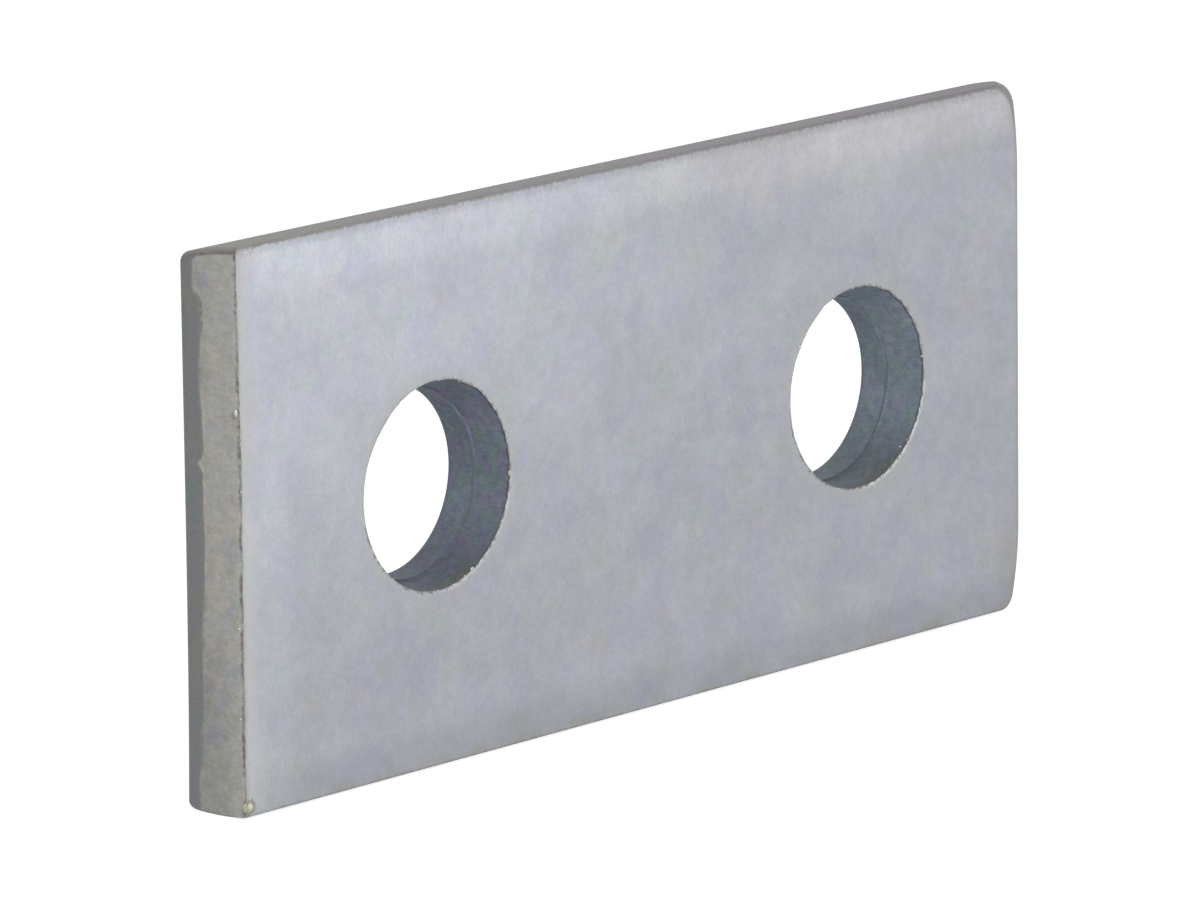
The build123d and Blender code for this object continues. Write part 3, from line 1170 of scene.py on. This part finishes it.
# %% The punched bores
def bore_finish():
    f = Finish(BORE)
    along, deep, height = (f.along(axis) for axis in "XYZ")
    slate = f.patches(1.2, 1.0, 0.4, 0.6, detail=4.0, rough=0.65)
    f.base(slate, (120, 128, 145), (122, 136, 138))
    f.clouds([(1.6, 3.0, 0.48, 0.64, 0.7, 134, 126, 150)], detail=3.0)  # violet
    f.tint(f.rise(along, 0.0, 22.0, 0.0, 0.35), 122, 136, 141)

    # Tones: a little paler behind the step, painted shade at the bottom, painted light at the top and to
    # the right, then mottling
    f.shade(deep, -0.1 * MM, 0.5 * MM, 1.0, 1.06)
    # painted shade at the bottom of the bore
    f.shade(height, 13.4 * MM, 19.5 * MM, 0.6, 1.0)
    # painted light towards the top of the bore
    f.shade(height, 20.5 * MM, 28.4 * MM, 1.0, 1.6)
    # painted light towards the right
    f.shade(along, 0.0, 20.0 * MM, 0.97, 1.13)
    mottle = f.noise(0.7, 4.0, detail=5.0, rough=0.7)
    f.shade(mottle, 0.32, 0.68, 0.86, 1.13)

    # Olive dirt low on the rim, and painted shadow in a dark line at the step
    caught = f.patches(0.8, 10.0, 0.38, 0.56, detail=4.0, rough=0.7)
    low_rim = f.times(f.rise(height, 15.6, 14.2), f.rise(deep, -1.6, -2.9))
    f.tint(f.times(low_rim, caught, 0.8), 104, 103, 84)
    # painted shadow in a dark line at the step
    step = f.times(f.rise(deep, 0.02, 0.08), f.rise(deep, 0.24, 0.18))
    step = f.times(step, f.rise(height, 24.0, 20.0, 0.38, 0.6))
    f.tint(step, 82, 88, 96)
    grain = f.noise(0.16, 6.0, (1.0, 3.0, 1.0), detail=4.0, rough=0.65)
    f.shade(grain, 0.3, 0.7, 0.9, 1.1)
    stain_and_shade_over(f, SLATE)
    f.done(0.15, 0.08, 0.7, f.relief(grain, 0.02 * MM, 0.7))


bore_finish()

# %% [markdown]
# ## The nodules
#
# Nodules and drops are zinc all through, so they are the palest part of the plate. The bead at the
# lower left corner carries a painted highlight, creamy near its top, which fades to a painted olive
# shade at its foot.

# %% The nodules
def nodule_finish():
    f = Finish(LUMP)
    warm = f.patches(1.2, 1.0, 0.42, 0.58, detail=1.0)
    f.base(warm, (196, 192, 176), (202, 200, 202))
    # painted highlight and shade on the bead, centred a little above and to the right of it
    from_highlight = f.distance((bead[0] + 0.08 * MM, bead[1], bead[2] + 0.12 * MM))
    highlight_share = f.rise(from_highlight, 0.12, 0.42)
    bead_light_and_shade = f.blend(highlight_share, screen_colour(226, 226, 208), screen_colour(172, 172, 148))
    f.colour = f.blend(f.rise(from_highlight, 0.8, 0.7), f.colour, bead_light_and_shade)
    grain = f.noise(0.08, 6.0)
    f.shade(grain, 0.3, 0.7, 0.94, 1.06)
    f.done(METAL, 0.4, f.spread(grain, 0.3, 0.7, 0.4, 0.55), f.relief(grain, 0.01 * MM, 0.5))


nodule_finish()

# %% [markdown]
# ## Floor, white surroundings and light
#
# Metal shows what stands around it, so the room matters as much as the lamps. The world is plain
# white for whatever looks at it: the camera, and rays that a shiny surface sends out. For the soft
# light that falls on the plate it is dimmer, and a broad lamp at the upper left does the rest. The
# floor is pale and takes the plate's soft shadow.

# %% The world
WHITE = (1.0, 1.0, 1.0, 1.0)
ambient = 0.42  # how bright the world is for soft light


def shows_white(node_tree):
    """1 for a ray from the camera, off a glossy surface or through glass, and 0 for soft light."""
    path = add_node(node_tree, "ShaderNodeLightPath").outputs
    found = path["Is Camera Ray"]
    for kind in ("Is Glossy Ray", "Is Transmission Ray"):
        either = {0: found, 1: path[kind]}
        found = add_node(node_tree, "ShaderNodeMath", either, operation="MAXIMUM").outputs[0]
    return found


world = bpy.data.worlds.new("studio")
bpy.context.scene.world = world
world.use_nodes = True
wires = world.node_tree
limits = {"Value": shows_white(wires), "To Min": ambient, "To Max": 1.0}
strength = add_node(wires, "ShaderNodeMapRange", limits).outputs[0]
fill(wires, wires.nodes["Background"], {"Color": WHITE, "Strength": strength})
print("World:", len(wires.nodes), "nodes")

# %% The floor
floor_reach = 6.0
floor_glow = 0.85
floor_mesh = bpy.data.meshes.new("floor")
floor_corners = [(x * floor_reach, y * floor_reach, 0) for x, y in ((-1, -1), (1, -1), (1, 1), (-1, 1))]
floor_mesh.from_pydata(floor_corners, [], [(0, 1, 2, 3)])
floor = bpy.data.objects.new("floor", floor_mesh)
bpy.context.scene.collection.objects.link(floor)
floor_material = bpy.data.materials.new("pale_floor")
floor_material.use_nodes = True
floor_mesh.materials.append(floor_material)
floor_tree = floor_material.node_tree
dimmed = {0: shows_white(floor_tree), 1: floor_glow}
glow = add_node(floor_tree, "ShaderNodeMath", dimmed, operation="MULTIPLY").outputs[0]
floor_look = {
    "Base Color": (0.35, 0.35, 0.35, 1.0),
    "Roughness": 1.0,
    "Specular IOR Level": 0.0,
    "Emission Color": WHITE,
    "Emission Strength": glow,
}
fill(floor_tree, floor_tree.nodes["Principled BSDF"], floor_look)
print("Floor:", 2 * floor_reach, "metres wide")


# %% The lamps
def soft_lamp(name, place, target, size, watts):
    """A square soft box at a place, turned to face a target."""
    lamp = bpy.data.lights.new(name, "AREA")
    lamp.shape = "SQUARE"
    lamp.size = size
    lamp.energy = watts
    holder = bpy.data.objects.new(name, lamp)
    holder.location = Vector(place)
    holder.rotation_euler = (Vector(target) - Vector(place)).to_track_quat("-Z", "Y").to_euler()
    bpy.context.scene.collection.objects.link(holder)


middle = Vector((0.0, 0.0, back_width / 2))
soft_lamp("key", (-0.15, -0.23, 0.18), middle, 0.16, 0.62)
soft_lamp("back_fill", (0.35, 0.6, 0.35), middle, 0.4, 1.2)
bpy.context.scene.view_settings.view_transform = "Standard"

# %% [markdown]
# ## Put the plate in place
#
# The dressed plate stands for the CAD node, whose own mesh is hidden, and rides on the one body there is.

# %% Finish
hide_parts(NODE)
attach(plate, "root")
bpy.context.view_layer.update()
